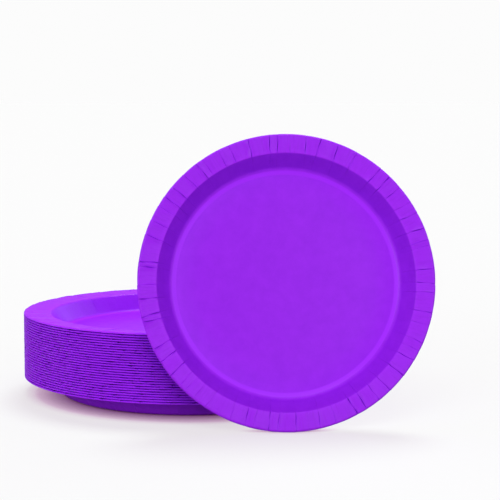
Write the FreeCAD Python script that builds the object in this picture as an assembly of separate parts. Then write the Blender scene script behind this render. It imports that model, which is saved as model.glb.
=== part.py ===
"""A stack of nine-inch pressed paper plates lying flat, with a seven-inch one leaning on its front.

The Z axis is the axis of the stack, z = 0 is the surface that it stands on, and +Y points away from
the viewer. Every plate is one sheet of coated paper, pressed between two dies: a flat base, a fillet, a
steep wall, a shoulder, a flange that rises a little, and a lip that rolls down. Where the flat blank was
too wide for the smaller circle, the sheet is gathered into radial creases, folded down and up by turns,
that run from the edge of the base to the edge of the lip.
"""
import FreeCAD, Part
import math
import os
import random
from collections import namedtuple
from FreeCAD import Placement, Rotation, Vector

# Driving dimensions, in millimetres and degrees

# What both sizes of plate share
paper_thickness = 0.45
flange_slope = 4.0          # the flange rises outwards
lip_slope = 50.0            # how steeply the edge of the lip points down

# Height is from the underside of the base to the crest of the rim, the rim's width is from the edge of
# the lip to the middle of the shoulder, the wall's slope is from the horizontal, and the radii are on
# the face
PlateSize = namedtuple("PlateSize", "diameter height rim_width wall_slope "
                                    "fillet_radius shoulder_radius lip_radius")
nine_inch = PlateSize(diameter=228.6, height=13.3, rim_width=16.7, wall_slope=55.0,
                      fillet_radius=4.5, shoulder_radius=3.0, lip_radius=4.0)
seven_inch = PlateSize(diameter=177.8, height=13.2, rim_width=10.2, wall_slope=49.0,
                       fillet_radius=3.2, shoulder_radius=2.0, lip_radius=3.2)

# Creases
crease_pairs = 31           # each pair is one fold down and one fold up
crease_sink = 0.30          # how far the rim drops at a fold down
crease_ease = 0.5           # how much less steep the wall is at a fold down
crease_jitter = 1.3         # largest shift of a crease from even spacing
crease_slant = 5.0          # largest angle between a crease and the radius
crease_seed = 11

# The stack
plate_count = 28
nesting_gap = 0.465         # upright gap between a wall and the wall below it, at their nearest
plate_turn = 137.5          # each plate is turned by this from the one below

# The leaning plate
lean_angle = 10.9           # leans back from upright
lean_turn = 3.1             # its right-hand side stands further back
lean_offset = 58.4          # its middle is this far to the right of the stack's axis
lean_gap = 0.05             # between its back and the rim that it leans on
lean_steps = 8              # steps that bring it up to that rim

# Worked out from the dimensions above
steepest_slope = math.radians(max(nine_inch.wall_slope, lip_slope))
nesting_pitch = paper_thickness / math.cos(steepest_slope) + crease_sink + nesting_gap


def arc_poles(centre, radius, start, end):
    """Cubic poles of an arc in the (r, z) plane, from the polar angle start to end, in radians."""
    reach = 4 / 3 * math.tan((end - start) / 4) * radius
    poles = []
    for angle, pull in ((start, 0), (start, reach), (end, -reach), (end, 0)):
        poles.append((centre[0] + radius * math.cos(angle) - pull * math.sin(angle),
                      centre[1] + radius * math.sin(angle) + pull * math.cos(angle)))
    return poles


def crossing(first, second):
    """Where two lines meet, each given as ((normal r, normal z), distance along the normal)."""
    (r1, z1), d1 = first
    (r2, z2), d2 = second
    scale = r1 * z2 - r2 * z1
    return ((d1 * z2 - d2 * z1) / scale, (r1 * d2 - r2 * d1) / scale)


def lip_centre(size, fold):
    """Centre of the lip's arc. fold is 1 at a fold down and 0 at a fold up."""
    return (size.diameter / 2 - size.lip_radius * math.sin(math.radians(lip_slope)),
            size.height - fold * crease_sink - size.lip_radius)


def shoulder_line(size, fold):
    """The line, parallel to the flange, that the centre of the shoulder's arc lies on."""
    slope = math.radians(flange_slope)
    off_flange = (-math.sin(slope), math.cos(slope))
    off_lip = size.lip_radius - size.shoulder_radius
    return off_flange, math.sumprod(lip_centre(size, fold), off_flange) + off_lip


def base_radius(size):
    """Radius of the flat base, which is what the rim, the wall and the fillet leave of the plate."""
    off_flange, distance = shoulder_line(size, 0)
    wall = math.radians(size.wall_slope)
    shoulder_r = size.diameter / 2 - size.rim_width
    shoulder_z = (distance - off_flange[0] * shoulder_r) / off_flange[1]
    rise = shoulder_z - paper_thickness - size.fillet_radius
    return shoulder_r - (size.fillet_radius + size.shoulder_radius + rise * math.cos(wall)) / math.sin(wall)


def half_section(size, fold, depth):
    """One side of a plate's section from base to edge, as five runs of poles (r, z).

    fold is 1 at a fold down and 0 at a fold up. depth is how far this skin lies under the face: nothing
    for the face itself, the paper's thickness for the underside.
    """
    wall = math.radians(size.wall_slope - fold * crease_ease)
    flange = math.radians(flange_slope)
    lip_end = math.pi / 2 - math.radians(lip_slope)
    upright = math.pi / 2

    # The shoulder's centre keeps its radius from the face of the wall and from the face of the flange
    fillet_centre = (base_radius(size), paper_thickness + size.fillet_radius)
    off_wall = (math.sin(wall), -math.cos(wall))
    wall_distance = math.sumprod(fillet_centre, off_wall) + size.fillet_radius + size.shoulder_radius
    shoulder_centre = crossing((off_wall, wall_distance), shoulder_line(size, fold))

    fillet = arc_poles(fillet_centre, size.fillet_radius + depth, -upright, wall - upright)
    shoulder = arc_poles(shoulder_centre, size.shoulder_radius - depth, upright + wall, upright + flange)
    lip = arc_poles(lip_centre(size, fold), size.lip_radius - depth, upright + flange, lip_end)
    return [fillet, [fillet[-1], shoulder[0]], shoulder, [shoulder[-1], lip[0]], lip]


def crease_lines():
    """The creases round a plate, as (angle at the base, angle from the radius, fold), in radians."""
    chance = random.Random(crease_seed)
    creases = []
    for number in range(2 * crease_pairs):
        angle = 180 * number / crease_pairs + chance.uniform(-crease_jitter, crease_jitter)
        slant = chance.uniform(-crease_slant, crease_slant)
        creases.append((math.radians(angle), math.radians(slant), number % 2))
    return creases


def along_crease(size, poles, crease):
    """Poles of the section, stood up in the plane of a crease."""
    angle, slant, _ = crease
    start = base_radius(size)
    points = []
    for radius, height in poles:
        outwards = radius - start
        points.append(Vector(start * math.cos(angle) + outwards * math.cos(angle + slant),
                             start * math.sin(angle) + outwards * math.sin(angle + slant),
                             height))
    return points


def ruled_face(first, second):
    """A face with straight lines from one row of poles to the other."""
    degree = len(first) - 1
    rows = list(zip(first, second))
    ends = [degree + 1, degree + 1]
    surface = Part.BSplineSurface()
    surface.buildFromPolesMultsKnots(rows, ends, [2, 2], [0, 1], [0, 1], False, False, degree, 1)
    return surface.toShape()


def panel_faces(size, left, right):
    """The faces between two creases: both skins and the cut edge of the paper."""
    faces = []
    rim_ends = []
    for depth in (0, paper_thickness):
        left_runs = [along_crease(size, run, left) for run in half_section(size, left[2], depth)]
        right_runs = [along_crease(size, run, right) for run in half_section(size, right[2], depth)]
        faces += [ruled_face(one, other) for one, other in zip(left_runs, right_runs)]
        rim_ends.append((left_runs[-1][-1], right_runs[-1][-1]))
    faces.append(ruled_face(*rim_ends))
    return faces


def base_face(size, creases, height):
    """The flat disc that the creases start from."""
    corners = [along_crease(size, [(base_radius(size), height)], crease)[0] for crease in creases]
    return Part.Face(Part.makePolygon(corners + corners[:1]))


def pressed_plate(size):
    """One plate, standing on z = 0 about the Z axis, face up."""
    creases = crease_lines()
    faces = [base_face(size, creases, paper_thickness), base_face(size, creases, 0)]
    for left, right in zip(creases, creases[1:] + creases[:1]):
        faces += panel_faces(size, left, right)
    skin = Part.makeShell(faces)
    skin.sewShape()
    return Part.makeSolid(skin)


def plate_envelope(size):
    """A plain body of revolution that takes in the plate, with its folds up and its folds down."""
    face = half_section(size, 0, 0)
    underside = half_section(size, 1, paper_thickness)
    edges = []
    for run in face + underside:
        curve = Part.BezierCurve()
        curve.setPoles([Vector(radius, 0, height) for radius, height in run])
        edges.append(curve.toShape())
    starts = [Vector(runs[0][0][0], 0, runs[0][0][1]) for runs in (face, underside)]
    ends = [Vector(runs[-1][-1][0], 0, runs[-1][-1][1]) for runs in (face, underside)]
    middles = [Vector(0, 0, start.z) for start in starts]
    for line in ((starts[0], middles[0]), middles, (middles[1], starts[1]), ends):
        edges.append(Part.makeLine(*line))
    outline = Part.Face(Part.Wire(Part.__sortEdges__(edges)))
    return outline.revolve(Vector(0, 0, 0), Vector(0, 0, 1), 360)


def moved(shape, placement):
    """A copy of the shape, placed."""
    copy = shape.copy()
    copy.Placement = placement
    return copy


def stacked_placement(number):
    """Where a plate of the stack lies, counted from 0 at the bottom."""
    return Placement(Vector(0, 0, number * nesting_pitch), Rotation(Vector(0, 0, 1), number * plate_turn))


def leaning_placement(plate):
    """Where the leaning plate stands: its foot on the floor, its back on the rim of the top plate."""
    tilted = Rotation(Vector(0, 0, 1), lean_turn) * Rotation(Vector(1, 0, 0), 90 - lean_angle)
    foot = min(corner.Z for corner in moved(plate, Placement(Vector(), tilted)).Vertexes)
    spot = Vector(lean_offset, -nine_inch.diameter, -foot)
    envelope = plate_envelope(seven_inch)
    top_plate = moved(plate_envelope(nine_inch), stacked_placement(plate_count - 1))
    for _ in range(lean_steps):
        gap = moved(envelope, Placement(spot, tilted)).distToShape(top_plate)[0]
        spot.y += gap - lean_gap
    return Placement(spot, tilted)


os.makedirs("parts", exist_ok=True)
flat_plate = pressed_plate(nine_inch)
for number in range(plate_count):
    moved(flat_plate, stacked_placement(number)).exportStep(f"parts/plate_{number + 1:02d}.step")
leaning_plate = pressed_plate(seven_inch)
moved(leaning_plate, leaning_placement(leaning_plate)).exportStep("parts/leaning_plate.step")
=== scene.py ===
"""The looks of a stack of purple nine-inch paper plates, with a seven-inch one leaning on its front.

Each plate is a closed sheet of coated paper made by one Geometry Nodes tree, which turns a section of the
plate round its axis and gathers the rim into creases. Metres, in the frame's own axes.
"""
from collections import namedtuple
import math
import bpy
from mathutils import Matrix, Vector


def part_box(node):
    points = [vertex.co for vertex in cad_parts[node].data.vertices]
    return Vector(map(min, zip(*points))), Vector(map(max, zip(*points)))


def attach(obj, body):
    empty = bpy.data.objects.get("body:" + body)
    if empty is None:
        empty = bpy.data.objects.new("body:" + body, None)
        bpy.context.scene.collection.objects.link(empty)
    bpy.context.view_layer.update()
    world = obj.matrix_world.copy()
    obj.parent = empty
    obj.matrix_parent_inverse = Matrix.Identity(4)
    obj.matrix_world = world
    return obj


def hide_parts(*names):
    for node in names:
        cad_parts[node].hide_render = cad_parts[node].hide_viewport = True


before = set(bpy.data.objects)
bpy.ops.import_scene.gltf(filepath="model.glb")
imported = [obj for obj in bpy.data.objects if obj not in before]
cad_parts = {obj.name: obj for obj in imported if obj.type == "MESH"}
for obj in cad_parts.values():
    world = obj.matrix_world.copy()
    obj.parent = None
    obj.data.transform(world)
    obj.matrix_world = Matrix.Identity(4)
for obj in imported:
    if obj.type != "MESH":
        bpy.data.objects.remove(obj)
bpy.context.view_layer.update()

MM = 0.001

# The plates, as in the solids but for a crisper shoulder, a tighter lip and a ledge round the base
PAPER_THICKNESS = 0.45 * MM
LEDGE_SLOPE = math.radians(12)
FLANGE_SLOPE = math.radians(4)
LIP_SLOPE = math.radians(64)
PlateSize = namedtuple("PlateSize", "rim_radius height rim_width wall_slope ledge_width "
                                    "fillet_radius shoulder_radius lip_radius")
NINE_INCH = PlateSize(rim_radius=114.3 * MM, height=13.3 * MM, rim_width=16.7 * MM,
                      wall_slope=math.radians(57.5), ledge_width=2.7 * MM, fillet_radius=3.5 * MM,
                      shoulder_radius=2.4 * MM, lip_radius=1.5 * MM)
SEVEN_INCH = PlateSize(rim_radius=88.9 * MM, height=13.2 * MM, rim_width=10.9 * MM,
                       wall_slope=math.radians(55.3), ledge_width=2.7 * MM, fillet_radius=4.0 * MM,
                       shoulder_radius=1.1 * MM, lip_radius=1.5 * MM)

# How many straight steps each stretch of a skin of the section is divided into
Detail = namedtuple("Detail", "base ledge fillet wall shoulder flange lip")
FINE_FACE = Detail(base=5, ledge=3, fillet=5, wall=5, shoulder=5, flange=8, lip=8)
FINE_BACK = Detail(base=2, ledge=2, fillet=3, wall=3, shoulder=4, flange=4, lip=6)
PLAIN_FACE = Detail(base=2, ledge=2, fillet=3, wall=1, shoulder=3, flange=3, lip=6)
PLAIN_BACK = Detail(base=2, ledge=2, fillet=2, wall=1, shoulder=3, flange=3, lip=5)

# Creases of the gathered rim
CREASES = 62
CREASE_WIDTH = 0.24 * MM
CREASE_DEPTH = 0.55 * MM
PANEL_BULGE = 0.10 * MM
FOLD_STEP = 0.50 * MM
CREASE_JITTER = math.radians(2.0)
CREASE_SLANT = math.radians(1.7)
CREASE_WIGGLE = 0.12 * MM

# How the creases of one plate differ: least and most of a crease's own share of the sizes above
WIDTH_SHARES = (0.6, 1.5)
DEPTH_SHARES = (0.15, 1.1)
BULGE_SHARES = (0.2, 1.0)

# Along its length a crease wiggles and fades: radians from base to edge, and the depth's middle and swing
WIGGLE_SPAN = 16.0
FADE_SPAN = 14.0
FADE_MIDDLE = 0.7
FADE_SWING = 0.4

# What each random number decides, with the number that its seed is shifted by, and the plates' own seeds
CHANCES = {"place": 1, "slant": 2, "width": 3, "depth": 4, "bulge": 5, "step": 6, "wave": 10}
SEED_STEP = 20
LEANING_SEED = 700

# The columns of one panel: share of the way to the next crease, crease widths off it, and how deep in its
# groove. A column of less than no depth is the raised side of the crease.
FINE_PANEL = ((0, 0, 1), (0, 0.7, 0.15), (0, 1.4, -0.35), (0, 2.6, 0), (0.36, 0, 0),
              (0.64, 0, 0), (1, -2.6, 0), (1, -1.5, 0.05), (1, -0.7, 0.5))
PLAIN_PANEL = ((0, 0, 1), (0, 1.5, 0.1), (0.35, 0, 0), (0.65, 0, 0), (1, -1.5, 0.1))

# Edges that bend less than this are shaded smooth, and points nearer than this are one
SOFT_BEND = math.radians(50)
WELD_DISTANCE = 0.001 * MM

# The leaning plate, as in the solids but for the clearance that its creases need
LEAN_ANGLE = math.radians(10.9)
LEAN_TURN = math.radians(3.1)
LEAN_CLEARANCE = 0.42 * MM

# Each plate of the stack is turned by this from the one below, as in the solids
PLATE_TURN = math.radians(137.5)

# Camera, fitted to the rims in the photograph
CAMERA_PLACE = Vector((0.0371, -1.000, 0.1939))
CAMERA_PITCH = math.radians(5.67)
CAMERA_LENS = 107.64
CAMERA_SENSOR = 36.0
CAMERA_CLIP_END = 2000

# Paper: its colours with a painted highlight and painted shade, how much painted highlight each stretch of
# the section carries and how far each is gathered, and the mottle, puckers and fibres of its finish
PAPER_COLOUR_LOW = (0.278, 0.013, 0.765, 1)
PAPER_COLOUR_HIGH = (0.318, 0.017, 0.820, 1)
# Painted highlight: a paler colour laid on the ledge round the base, the shoulder, the flange and the lip
PAINTED_HIGHLIGHT_COLOUR = (0.355, 0.020, 0.900, 1)
# Painted shade: a darker colour laid along the creases and in the puckers
PAINTED_SHADE_COLOUR = (0.15, 0.005, 0.50, 1)
HIGHLIGHT_SHARES = {"ledge": 1, "fillet": 0.2, "shoulder": 0.7, "flange": 0.4, "lip": 0.6}
GATHER_SHARES = {"fillet": 0.12, "wall": 0.39, "rim": 1, "lip": 0.35}
PAPER_ROUGHNESS = 0.5
COAT_WEIGHT = 0.16
COAT_ROUGHNESS = 0.28
CLOUD_SCALE = 140.0
CLOUD_DETAIL = 7.0
CLOUD_ROUGHNESS = 0.65
CLOUD_STOPS = (0.3, 0.7)
PUCKER_SCALE = 70.0
PUCKER_DETAIL = 3.0
PUCKER_STRETCH = 0.04
PUCKER_STOPS = (0.5, 0.75)
# How much painted shade the puckers carry at most
PUCKER_SHADE_AMOUNT = 0.16
PUCKER_RELIEF = 3.0
FIBRE_SCALE = 1100.0
FIBRE_DETAIL = 3.0
RELIEF_STRENGTH = 0.35
RELIEF_DEPTH = 0.1 * MM

# Light: each lamp's name, the direction it shines from, how wide it looks in degrees, and its strength
WORLD_STRENGTH = 0.10
SUNS = (("left_softbox", (-0.49, -0.85, 0.19), 28, 1.28),
        ("right_softbox", (0.49, -0.85, 0.19), 46, 1.27),
        ("upper_softbox", (0.0, -0.70, 0.72), 28, 0.88),
        ("top_softbox", (0.12, 0.46, 1.0), 25, 2.6),
        ("side_softbox", (-1.0, 0.25, 0.30), 50, 0.9),
        ("rear_softbox", (0.85, 0.75, 0.35), 50, 1.1))

# What the camera sees of the floor and the backdrop. Close to the plates the floor carries a painted contact
# shadow: each tint stands for how open the spot is, and gives the share of the backdrop's red, green and blue
# that is left
BACKDROP = 0.973
FLOOR_COLOUR = (0.20, 0.24, 0.21)
FLOOR_REACH = 800.0
CONTACT_REACH = 16 * MM
CONTACT_SHADOW_TINTS = ((0.0, (0.08, 0.0, 0.07)), (0.2, (0.20, 0.04, 0.18)),
                 (0.5, (0.80, 0.56, 0.76)), (0.78, (1, 1, 1)))
CONTACT_SAMPLES = 16


def arc(centre, radius, start, end, steps):
    """Points of an arc from one polar angle to another, without its first point."""
    points = []
    for step in range(1, steps + 1):
        angle = start + (end - start) * step / steps
        points.append((centre[0] + radius * math.cos(angle), centre[1] + radius * math.sin(angle)))
    return points


def line(start, end, steps):
    """Points of a straight run, without its first point."""
    return [tuple(a + (b - a) * step / steps for a, b in zip(start, end)) for step in range(1, steps + 1)]


def section_centres(size):
    """Centres of the base fillet, the shoulder and the lip, in the (r, z) plane."""
    lip = (size.rim_radius - size.lip_radius * math.sin(LIP_SLOPE), size.height - size.lip_radius)
    off_flange = (-math.sin(FLANGE_SLOPE), math.cos(FLANGE_SLOPE))
    distance = lip[0] * off_flange[0] + lip[1] * off_flange[1] + size.lip_radius - size.shoulder_radius
    shoulder_r = size.rim_radius - size.rim_width
    shoulder_z = (distance - off_flange[0] * shoulder_r) / off_flange[1]
    ledge_rise = size.ledge_width * math.tan(LEDGE_SLOPE)
    fillet_z = PAPER_THICKNESS + ledge_rise + size.fillet_radius * math.cos(LEDGE_SLOPE)
    wall_rise = (shoulder_z - fillet_z) * math.cos(size.wall_slope)
    wall_reach = (size.fillet_radius + size.shoulder_radius + wall_rise) / math.sin(size.wall_slope)
    fillet_r = shoulder_r - wall_reach
    return (fillet_r, fillet_z), (shoulder_r, shoulder_z), lip


def base_radius(size):
    """Radius of the flat base, up to the ledge."""
    fillet = section_centres(size)[0]
    return fillet[0] + size.fillet_radius * math.sin(LEDGE_SLOPE) - size.ledge_width


def skin_points(size, depth, detail):
    """One skin of the section from the axis to the edge: (r, z) points, how far each is gathered, and
    how much painted highlight each carries."""
    fillet_centre, shoulder_centre, lip_centre = section_centres(size)
    upright = math.pi / 2
    base_z = PAPER_THICKNESS - depth
    fillet_radius = size.fillet_radius + depth
    shoulder_radius = size.shoulder_radius - depth
    lip_radius = size.lip_radius - depth
    points = [(0.0, base_z)]
    gathers = [0.0]
    burnish = [0.0]

    def extend(new, gather, highlight_level):
        before = gathers[-1], burnish[-1]
        for number, point in enumerate(new, 1):
            points.append(point)
            gathers.append(before[0] + (gather - before[0]) * number / len(new))
            burnish.append(before[1] + (highlight_level - before[1]) * number / len(new))

    ledge_start = (base_radius(size) + depth * math.tan(LEDGE_SLOPE / 2), base_z)
    ledge_end = (fillet_centre[0] + fillet_radius * math.sin(LEDGE_SLOPE),
                 fillet_centre[1] - fillet_radius * math.cos(LEDGE_SLOPE))
    wall_top = (shoulder_centre[0] - shoulder_radius * math.sin(size.wall_slope),
                shoulder_centre[1] + shoulder_radius * math.cos(size.wall_slope))
    flange_end = (lip_centre[0] - lip_radius * math.sin(FLANGE_SLOPE),
                  lip_centre[1] + lip_radius * math.cos(FLANGE_SLOPE))
    ledge = line(ledge_start, ledge_end, detail.ledge)
    fillet = arc(fillet_centre, fillet_radius, LEDGE_SLOPE - upright, size.wall_slope - upright,
                 detail.fillet)
    shoulder = arc(shoulder_centre, shoulder_radius, upright + size.wall_slope, upright + FLANGE_SLOPE,
                   detail.shoulder)
    flange = line(shoulder[-1], flange_end, detail.flange)
    lip = arc(lip_centre, lip_radius, upright + FLANGE_SLOPE, upright - LIP_SLOPE, detail.lip)
    rim = GATHER_SHARES["rim"]
    extend(line(points[-1], ledge_start, detail.base), 0, 0)
    extend(ledge[:1], 0, HIGHLIGHT_SHARES["ledge"])
    extend(ledge[1:], 0, HIGHLIGHT_SHARES["ledge"])
    extend(fillet[:1], 0, HIGHLIGHT_SHARES["fillet"])
    extend(fillet[1:], GATHER_SHARES["fillet"], 0)
    extend(line(points[-1], wall_top, detail.wall), GATHER_SHARES["wall"], 0)
    extend(shoulder, rim, HIGHLIGHT_SHARES["shoulder"])
    extend(flange[:2], rim, HIGHLIGHT_SHARES["flange"])
    extend(flange[2:], rim, HIGHLIGHT_SHARES["flange"])
    extend(lip, GATHER_SHARES["lip"], HIGHLIGHT_SHARES["lip"])
    return points, gathers, burnish


def section_object(name, size, face_detail, back_detail):
    """The plate's whole section as a row of vertices: face, cut edge and underside."""
    face, face_gathers, face_highlight = skin_points(size, 0.0, face_detail)
    back, back_gathers, _ = skin_points(size, PAPER_THICKNESS, back_detail)
    rows = face + back[::-1]
    gathers = face_gathers + back_gathers[::-1]
    mesh = bpy.data.meshes.new(name)
    mesh.from_pydata([(r, 0.0, z) for r, z in rows], [(i, i + 1) for i in range(len(rows) - 1)], [])
    gather = mesh.attributes.new("gather", "FLOAT", "POINT")
    burnish = mesh.attributes.new("burnish", "FLOAT", "POINT")
    outward = mesh.attributes.new("outward", "FLOAT_VECTOR", "POINT")
    for index, value in enumerate(gathers):
        gather.data[index].value = value
    for index, value in enumerate(face_highlight):
        burnish.data[index].value = value
    for points, first, stride in ((face, 0, 1), (back, len(rows) - 1, -1)):
        for number in range(len(points)):
            before = points[max(number - 1, 0)]
            after = points[min(number + 1, len(points) - 1)]
            run = Vector((after[0] - before[0], after[1] - before[1])).normalized()
            outward.data[first + stride * number].vector = (-run[1], 0.0, run[0])
    return bpy.data.objects.new(name, mesh)


def panel_object(name, stations):
    """The columns of one panel, as vertices."""
    mesh = bpy.data.meshes.new(name)
    mesh.from_pydata(stations, [], [])
    return bpy.data.objects.new(name, mesh)


class TreeMaker:
    """Short calls that add nodes to a tree and link them."""

    def __init__(self, tree):
        self.tree = tree

    def node(self, kind, inputs=(), **settings):
        made = self.tree.nodes.new(kind)
        for name, value in settings.items():
            setattr(made, name, value)
        for key, value in dict(inputs).items():
            self.join(value, made.inputs[key])
        return made

    def join(self, value, socket):
        if isinstance(value, bpy.types.NodeSocket):
            self.tree.links.new(value, socket)
        else:
            socket.default_value = value

    def math(self, operation, *values):
        made = self.node("ShaderNodeMath", operation=operation)
        for value, socket in zip(values, made.inputs):
            self.join(value, socket)
        return made.outputs[0]

    def mix(self, share, first, second):
        """first + (second - first) * share"""
        return self.math("MULTIPLY_ADD", self.math("SUBTRACT", second, first), share, first)


def pressed_plate_tree():
    """Turns a section round Z and gathers it into creases."""
    tree = bpy.data.node_groups.new("pressed_plate", "GeometryNodeTree")
    sockets = {}
    for name, kind in (("Section", "NodeSocketObject"), ("Panel", "NodeSocketObject"),
                       ("Creases", "NodeSocketInt"), ("Seed", "NodeSocketInt"),
                       ("Base Radius", "NodeSocketFloat"), ("Rim Radius", "NodeSocketFloat"),
                       ("Crease Width", "NodeSocketFloat"), ("Crease Depth", "NodeSocketFloat"),
                       ("Panel Bulge", "NodeSocketFloat"), ("Fold Step", "NodeSocketFloat"),
                       ("Jitter", "NodeSocketFloat"), ("Slant", "NodeSocketFloat"),
                       ("Wiggle", "NodeSocketFloat"), ("Paper", "NodeSocketMaterial")):
        sockets[name] = tree.interface.new_socket(name, in_out="INPUT", socket_type=kind)
    tree.interface.new_socket("Plate", in_out="OUTPUT", socket_type="NodeSocketGeometry")
    make = TreeMaker(tree)
    given = make.node("NodeGroupInput").outputs
    finished = make.node("NodeGroupOutput")

    section = make.node("GeometryNodeObjectInfo", {"Object": given["Section"]}).outputs["Geometry"]
    panel = make.node("GeometryNodeObjectInfo", {"Object": given["Panel"]}).outputs["Geometry"]
    rows = make.node("GeometryNodeAttributeDomainSize", {"Geometry": section}).outputs["Point Count"]
    stations = make.node("GeometryNodeAttributeDomainSize", {"Geometry": panel}).outputs["Point Count"]
    columns = make.math("MULTIPLY", given["Creases"], stations)
    last_row = make.math("SUBTRACT", rows, 1)
    grid = make.node("GeometryNodeMeshGrid", {"Size X": columns, "Size Y": last_row,
                                              "Vertices X": make.math("ADD", columns, 1), "Vertices Y": rows})

    # Which column and row each vertex is
    place = make.node("ShaderNodeSeparateXYZ", {0: make.node("GeometryNodeInputPosition").outputs[0]}).outputs
    column = make.math("ROUND", make.math("MULTIPLY_ADD", columns, 0.5, place["X"]))
    row = make.math("ROUND", make.math("MULTIPLY_ADD", last_row, 0.5, place["Y"]))

    def sampled(geometry, kind, value, index):
        return make.node("GeometryNodeSampleIndex", {"Geometry": geometry, "Value": value, "Index": index},
                         data_type=kind).outputs["Value"]

    def named(name, kind):
        made = make.node("GeometryNodeInputNamedAttribute", {"Name": name}, data_type=kind)
        return made.outputs["Attribute"]

    def split(vector):
        return make.node("ShaderNodeSeparateXYZ", {0: vector}).outputs

    position = make.node("GeometryNodeInputPosition").outputs[0]
    on_section = split(sampled(section, "FLOAT_VECTOR", position, row))
    outward = split(sampled(section, "FLOAT_VECTOR", named("outward", "FLOAT_VECTOR"), row))
    gather = sampled(section, "FLOAT", named("gather", "FLOAT"), row)
    radius = on_section["X"]

    crease = make.math("FLOOR", make.math("DIVIDE", make.math("ADD", column, 0.5), stations))
    station = make.math("ROUND", make.math("SUBTRACT", column, make.math("MULTIPLY", crease, stations)))
    on_panel = split(sampled(panel, "FLOAT_VECTOR", position, station))
    share, widths, groove = on_panel["X"], on_panel["Y"], on_panel["Z"]

    def chance(crease_number, decides, low, high):
        number = make.math("FLOORED_MODULO", crease_number, given["Creases"])
        made = make.node("FunctionNodeRandomValue", data_type="FLOAT")
        make.join(low, made.inputs[2])
        make.join(high, made.inputs[3])
        make.join(number, made.inputs["ID"])
        make.join(make.math("ADD", given["Seed"], CHANCES[decides]), made.inputs["Seed"])
        return made.outputs[1]

    def chance_between(decides, low, high):
        """A random number that goes over, across a panel, from its first crease's to its second's."""
        return make.mix(share, chance(crease, decides, low, high), chance(following, decides, low, high))

    # How far out along the creases, from 0 at the base to 1 at the edge
    reach = make.math("SUBTRACT", radius, given["Base Radius"])
    span = make.math("SUBTRACT", given["Rim Radius"], given["Base Radius"])
    outwards = make.math("MAXIMUM", make.math("DIVIDE", reach, span), 0.0)

    def crease_angle(number):
        even = make.math("DIVIDE", make.math("MULTIPLY", number, math.tau), given["Creases"])
        shifted = make.math("MULTIPLY_ADD", chance(number, "place", -1.0, 1.0), given["Jitter"], even)
        slant = make.math("MULTIPLY", chance(number, "slant", -1.0, 1.0), given["Slant"])
        return make.math("ADD", shifted, make.math("MULTIPLY", slant, outwards))

    following = make.math("ADD", crease, 1.0)
    own_width = chance_between("width", *WIDTH_SHARES)
    full_depth = chance_between("depth", *DEPTH_SHARES)
    start = chance_between("wave", 0.0, math.tau)
    swing = make.math("SINE", make.math("MULTIPLY_ADD", outwards, WIGGLE_SPAN, start))
    wiggle = make.math("MULTIPLY", swing, given["Wiggle"])
    fading = make.math("SINE", make.math("MULTIPLY_ADD", outwards, FADE_SPAN, start))
    own_depth = make.math("MULTIPLY", full_depth, make.math("MULTIPLY_ADD", fading, FADE_SWING, FADE_MIDDLE))
    groove_side = make.math("MULTIPLY", make.math("MULTIPLY", widths, own_width), given["Crease Width"])
    across = make.math("MULTIPLY_ADD", wiggle, gather, groove_side)
    sideways = make.math("DIVIDE", across, make.math("MAXIMUM", radius, given["Base Radius"]))
    angle = make.math("ADD", make.mix(share, crease_angle(crease), crease_angle(following)), sideways)

    # How far the paper stands off its even section
    hump = make.math("MULTIPLY", make.math("MULTIPLY", share, make.math("SUBTRACT", 1.0, share)), 4.0)
    own_bulge = make.math("MULTIPLY", hump, chance(crease, "bulge", *BULGE_SHARES))
    bulge = make.math("MULTIPLY", own_bulge, given["Panel Bulge"])
    tilt = make.math("MULTIPLY", make.math("SUBTRACT", share, 0.5), chance(crease, "step", -1.0, 1.0))
    tilted = make.math("MULTIPLY_ADD", tilt, given["Fold Step"], bulge)
    sunk = make.math("MULTIPLY", make.math("MULTIPLY", groove, own_depth), given["Crease Depth"])
    gathered = make.math("MULTIPLY", gather, make.math("SUBTRACT", tilted, sunk))

    from_axis = make.math("MULTIPLY_ADD", outward["X"], gathered, radius)
    height = make.math("MULTIPLY_ADD", outward["Z"], gathered, on_section["Z"])
    cosine = make.math("COSINE", angle)
    sine = make.math("SINE", angle)
    point = make.node("ShaderNodeCombineXYZ", {"X": make.math("MULTIPLY", from_axis, cosine),
                                               "Y": make.math("MULTIPLY", from_axis, sine),
                                               "Z": height}).outputs[0]

    # What the material reads, among them the painted shade along the creases, stored as crease
    # Painted shade along the creases: the deeper the groove, the darker the colour
    crease_shade = make.math("MULTIPLY", make.math("MULTIPLY", groove, own_depth), gather)
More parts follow.
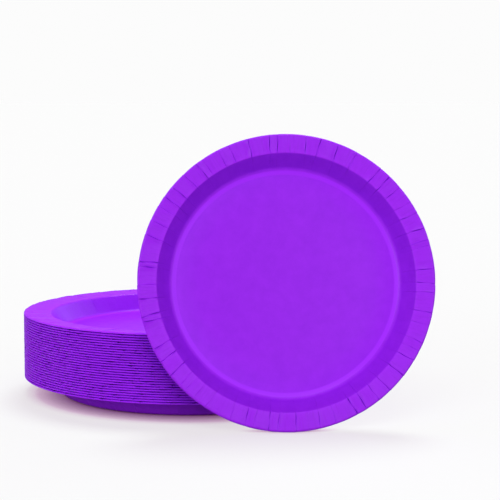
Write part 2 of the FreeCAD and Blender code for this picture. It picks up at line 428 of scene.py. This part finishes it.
    # How much painted highlight each row of the section carries
    burnish = sampled(section, "FLOAT", named("burnish", "FLOAT"), row)
    along = make.math("MULTIPLY", outwards, PUCKER_STRETCH)
    spoke = make.node("ShaderNodeCombineXYZ", {"X": cosine, "Y": sine, "Z": along}).outputs[0]
    marked = grid.outputs["Mesh"]
    for name, kind, value in (("crease", "FLOAT", crease_shade), ("gather", "FLOAT", gather),
                              ("burnish", "FLOAT", burnish), ("spoke", "FLOAT_VECTOR", spoke)):
        marked = make.node("GeometryNodeStoreNamedAttribute",
                           {"Geometry": marked, "Name": name, "Value": value},
                           data_type=kind, domain="POINT").outputs[0]
    shaped = make.node("GeometryNodeSetPosition", {"Geometry": marked, "Position": point}).outputs[0]
    closed = make.node("GeometryNodeMergeByDistance", {"Geometry": shaped,
                                                       "Distance": WELD_DISTANCE}).outputs[0]
    outside = make.node("GeometryNodeFlipFaces", {"Mesh": closed}).outputs[0]
    bend = make.node("GeometryNodeInputMeshEdgeAngle").outputs["Unsigned Angle"]
    soft = make.math("LESS_THAN", bend, SOFT_BEND)
    smooth = make.node("GeometryNodeSetShadeSmooth", {"Geometry": outside}).outputs[0]
    edged = make.node("GeometryNodeSetShadeSmooth", {"Geometry": smooth, "Shade Smooth": soft},
                      domain="EDGE").outputs[0]
    real = make.node("GeometryNodeRealizeInstances", {"Geometry": edged}).outputs[0]
    coloured = make.node("GeometryNodeSetMaterial", {"Geometry": real, "Material": given["Paper"]}).outputs[0]
    tree.links.new(coloured, finished.inputs["Plate"])
    return tree, {name: socket.identifier for name, socket in sockets.items()}


def purple_paper():
    """Paper coloured all through, with a satin coating on both sides."""
    material = bpy.data.materials.new("purple_paper")
    material.use_nodes = True
    tree = material.node_tree
    make = TreeMaker(tree)
    shader = tree.nodes["Principled BSDF"]
    shader.inputs["Roughness"].default_value = PAPER_ROUGHNESS
    shader.inputs["Specular IOR Level"].default_value = 0.0
    shader.inputs["Coat Weight"].default_value = COAT_WEIGHT
    shader.inputs["Coat Roughness"].default_value = COAT_ROUGHNESS
    where = make.node("ShaderNodeTexCoord").outputs["Object"]

    # Faint clouds in the colour, with a painted highlight on the ledge, shoulder, flange and lip, and painted
    # shade in the puckers and along the creases
    clouds = make.node("ShaderNodeTexNoise", {"Vector": where, "Scale": CLOUD_SCALE, "Detail": CLOUD_DETAIL,
                                              "Roughness": CLOUD_ROUGHNESS}).outputs["Fac"]
    colour = make.node("ShaderNodeValToRGB", {"Fac": clouds})
    low, high = colour.color_ramp.elements
    low.position, high.position = CLOUD_STOPS
    low.color = PAPER_COLOUR_LOW
    high.color = PAPER_COLOUR_HIGH
    spoke = make.node("ShaderNodeAttribute", attribute_name="spoke").outputs["Vector"]
    pucker = make.node("ShaderNodeTexNoise", {"Vector": spoke, "Scale": PUCKER_SCALE,
                                              "Detail": PUCKER_DETAIL}).outputs["Fac"]
    gather = make.node("ShaderNodeAttribute", attribute_name="gather").outputs["Fac"]
    burnish = make.node("ShaderNodeAttribute", attribute_name="burnish").outputs["Fac"]
    # The painted shade along the creases, and below it the painted shade in the puckers
    crease = make.node("ShaderNodeAttribute", attribute_name="crease").outputs["Fac"]
    pucker_shade = make.node("ShaderNodeMapRange", {"Value": pucker, "From Min": PUCKER_STOPS[0],
                                             "From Max": PUCKER_STOPS[1], "To Min": 0.0,
                                             "To Max": PUCKER_SHADE_AMOUNT}).outputs["Result"]
    painted_pucker_shade = make.math("MULTIPLY", pucker_shade, gather)
    tone = colour.outputs["Color"]
    # Painted highlight on the ledge, shoulder, flange and lip, then painted shade in the puckers and along
    # the creases
    for amount, tint in ((burnish, PAINTED_HIGHLIGHT_COLOUR), (painted_pucker_shade, PAINTED_SHADE_COLOUR), (crease, PAINTED_SHADE_COLOUR)):
        layer = make.node("ShaderNodeMix", data_type="RGBA")
        make.join(amount, layer.inputs["Factor"])
        make.join(tone, layer.inputs[6])
        make.join(tint, layer.inputs[7])
        tone = layer.outputs[2]
    tree.links.new(tone, shader.inputs["Base Color"])

    # Fibres under the coating, and fine puckers that run outwards across the rim
    fibre = make.node("ShaderNodeTexNoise", {"Vector": where, "Scale": FIBRE_SCALE,
                                             "Detail": FIBRE_DETAIL}).outputs["Fac"]
    relief = make.math("MULTIPLY_ADD", make.math("MULTIPLY", pucker, gather), PUCKER_RELIEF, fibre)
    bump = make.node("ShaderNodeBump", {"Height": relief, "Strength": RELIEF_STRENGTH,
                                        "Distance": RELIEF_DEPTH})
    tree.links.new(bump.outputs["Normal"], shader.inputs["Normal"])
    return material


def make_plate(name, size, tree, sockets, section, panel, seed, paper):
    """One plate as a plain mesh object, on z = 0 about the Z axis."""
    host = bpy.data.objects.new(name + "_host", bpy.data.meshes.new(name + "_host"))
    bpy.context.scene.collection.objects.link(host)
    growth = host.modifiers.new("pressed_plate", "NODES")
    growth.node_group = tree
    for socket, value in (("Section", section), ("Panel", panel), ("Creases", CREASES), ("Seed", seed),
                          ("Base Radius", base_radius(size)), ("Rim Radius", size.rim_radius),
                          ("Crease Width", CREASE_WIDTH), ("Crease Depth", CREASE_DEPTH),
                          ("Panel Bulge", PANEL_BULGE), ("Fold Step", FOLD_STEP),
                          ("Jitter", CREASE_JITTER), ("Slant", CREASE_SLANT),
                          ("Wiggle", CREASE_WIGGLE), ("Paper", paper)):
        growth[sockets[socket]] = value
    evaluated = host.evaluated_get(bpy.context.evaluated_depsgraph_get())
    mesh = bpy.data.meshes.new_from_object(evaluated)
    mesh.name = name
    bpy.data.objects.remove(host)
    plate = bpy.data.objects.new(name, mesh)
    bpy.context.scene.collection.objects.link(plate)
    return plate


def place_stacked(plate, node, turn):
    """Turns a plate about its axis and lifts it to where its solid stands."""
    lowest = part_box(node)[0][2]
    plate.data.transform(Matrix.Translation((0.0, 0.0, lowest)) @ Matrix.Rotation(turn, 4, "Z"))


def place_leaning(plate, node):
    """Tips a plate up on its edge and moves it into its solid's box, down to the floor."""
    tilted = Matrix.Rotation(LEAN_TURN, 4, "Z") @ Matrix.Rotation(math.pi / 2 - LEAN_ANGLE, 4, "X")
    plate.data.transform(tilted)
    low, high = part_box(node)
    corners = [vertex.co for vertex in plate.data.vertices]
    shift = []
    for axis in range(3):
        own = [corner[axis] for corner in corners]
        shift.append((low[axis] + high[axis] - min(own) - max(own)) / 2)
    shift[1] -= LEAN_CLEARANCE
    shift[2] = low[2] - min(corner[2] for corner in corners)
    plate.data.transform(Matrix.Translation(shift))


def build_plates():
    """All the plates, each for its own solid."""
    tree, sockets = pressed_plate_tree()
    paper = purple_paper()
    leaning_section = section_object("leaning_section", SEVEN_INCH, FINE_FACE, FINE_BACK)
    top_section = section_object("top_section", NINE_INCH, FINE_FACE, FINE_BACK)
    plain_section = section_object("plain_section", NINE_INCH, PLAIN_FACE, PLAIN_BACK)
    fine_panel = panel_object("fine_panel", FINE_PANEL)
    plain_panel = panel_object("plain_panel", PLAIN_PANEL)
    plates = sorted(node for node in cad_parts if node.startswith("plate_"))
    for number, node in enumerate(plates):
        on_top = node == plates[-1]
        section, panel = (top_section, fine_panel) if on_top else (plain_section, plain_panel)
        plate = make_plate("paper_" + node, NINE_INCH, tree, sockets, section, panel, number * SEED_STEP,
                           paper)
        place_stacked(plate, node, number * PLATE_TURN)
        finish_piece(plate, node)
    plate = make_plate("paper_leaning_plate", SEVEN_INCH, tree, sockets, leaning_section, fine_panel,
                       LEANING_SEED, paper)
    place_leaning(plate, "leaning_plate")
    finish_piece(plate, "leaning_plate")


def finish_piece(piece, node):
    """Rides the piece on the one body and hides the solid that it stands for."""
    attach(piece, "root")
    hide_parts(node)


def floor_light():
    """How bright the lamps and the world make a white floor where nothing shades it."""
    light = WORLD_STRENGTH
    for _, direction, _, strength in SUNS:
        light += strength * Vector(direction).normalized().z / math.pi
    return light


def build_floor():
    """A plain floor that the camera sees as pale as the backdrop, except where the plates shade it and where
    a contact shadow is painted round them.
    """
    mesh = bpy.data.meshes.new("floor")
    corners = [(FLOOR_REACH * math.cos(angle), FLOOR_REACH * math.sin(angle), 0.0)
               for angle in (0.0, math.tau / 3, 2 * math.tau / 3)]
    mesh.from_pydata(corners, [], [(0, 1, 2)])
    floor = bpy.data.objects.new("floor", mesh)
    bpy.context.scene.collection.objects.link(floor)
    material = bpy.data.materials.new("pale_floor")
    material.use_nodes = True
    tree = material.node_tree
    tree.nodes.clear()
    make = TreeMaker(tree)
    path = make.node("ShaderNodeLightPath").outputs
    seen = make.math("MAXIMUM", path["Is Camera Ray"], path["Is Glossy Ray"])
    lit = make.node("ShaderNodeBsdfDiffuse", {"Color": (*FLOOR_COLOUR, 1)}).outputs[0]
    # Painted contact shadow: the glow that the camera sees darkens where the plates shut the spot in
    openness = make.node("ShaderNodeAmbientOcclusion", {"Distance": CONTACT_REACH},
                         samples=CONTACT_SAMPLES).outputs["AO"]
    tint = make.node("ShaderNodeValToRGB", {"Fac": openness})
    ramp = tint.color_ramp.elements
    lift = [BACKDROP - floor_light() * part for part in FLOOR_COLOUR]
    for place, _ in CONTACT_SHADOW_TINTS[1:-1]:
        ramp.new(place)
    for stop, (place, shade) in zip(ramp, CONTACT_SHADOW_TINTS):
        stop.position = place
        stop.color = (*[part * share for part, share in zip(lift, shade)], 1)
    glow = make.node("ShaderNodeEmission", {"Color": tint.outputs["Color"], "Strength": seen}).outputs[0]
    both = make.node("ShaderNodeAddShader", {0: lit, 1: glow}).outputs[0]
    make.node("ShaderNodeOutputMaterial", {"Surface": both})
    mesh.materials.append(material)


def aim(place, target):
    """The turn that points a lamp's -Z from a place at a target."""
    return (Vector(target) - Vector(place)).to_track_quat("-Z", "Y").to_euler()


def build_light():
    """Soft studio light and a white world."""
    world = bpy.data.worlds.new("studio")
    bpy.context.scene.world = world
    world.use_nodes = True
    tree = world.node_tree
    tree.nodes.clear()
    make = TreeMaker(tree)
    path = make.node("ShaderNodeLightPath").outputs
    seen = make.math("MAXIMUM", path["Is Camera Ray"], make.math("MAXIMUM", path["Is Glossy Ray"],
                                                                 path["Is Transmission Ray"]))
    strength = make.mix(seen, WORLD_STRENGTH, BACKDROP)
    sky = make.node("ShaderNodeBackground", {"Color": (1, 1, 1, 1), "Strength": strength})
    make.node("ShaderNodeOutputWorld", {"Surface": sky.outputs[0]})
    for name, direction, angle, strength in SUNS:
        lamp = bpy.data.lights.new(name, "SUN")
        lamp.angle = math.radians(angle)
        lamp.energy = strength
        holder = bpy.data.objects.new(name, lamp)
        holder.rotation_euler = aim(direction, (0, 0, 0))
        bpy.context.scene.collection.objects.link(holder)


def build_camera():
    """The photograph's view."""
    camera = bpy.data.cameras.new("camera")
    camera.sensor_width = CAMERA_SENSOR
    camera.lens = CAMERA_LENS
    camera.clip_end = CAMERA_CLIP_END
    holder = bpy.data.objects.new("camera", camera)
    holder.location = CAMERA_PLACE
    holder.rotation_euler = (math.pi / 2 - CAMERA_PITCH, 0, 0)
    bpy.context.scene.collection.objects.link(holder)
    bpy.context.scene.camera = holder


bpy.context.scene.view_settings.view_transform = "Standard"
build_camera()
build_plates()
build_floor()
build_light()
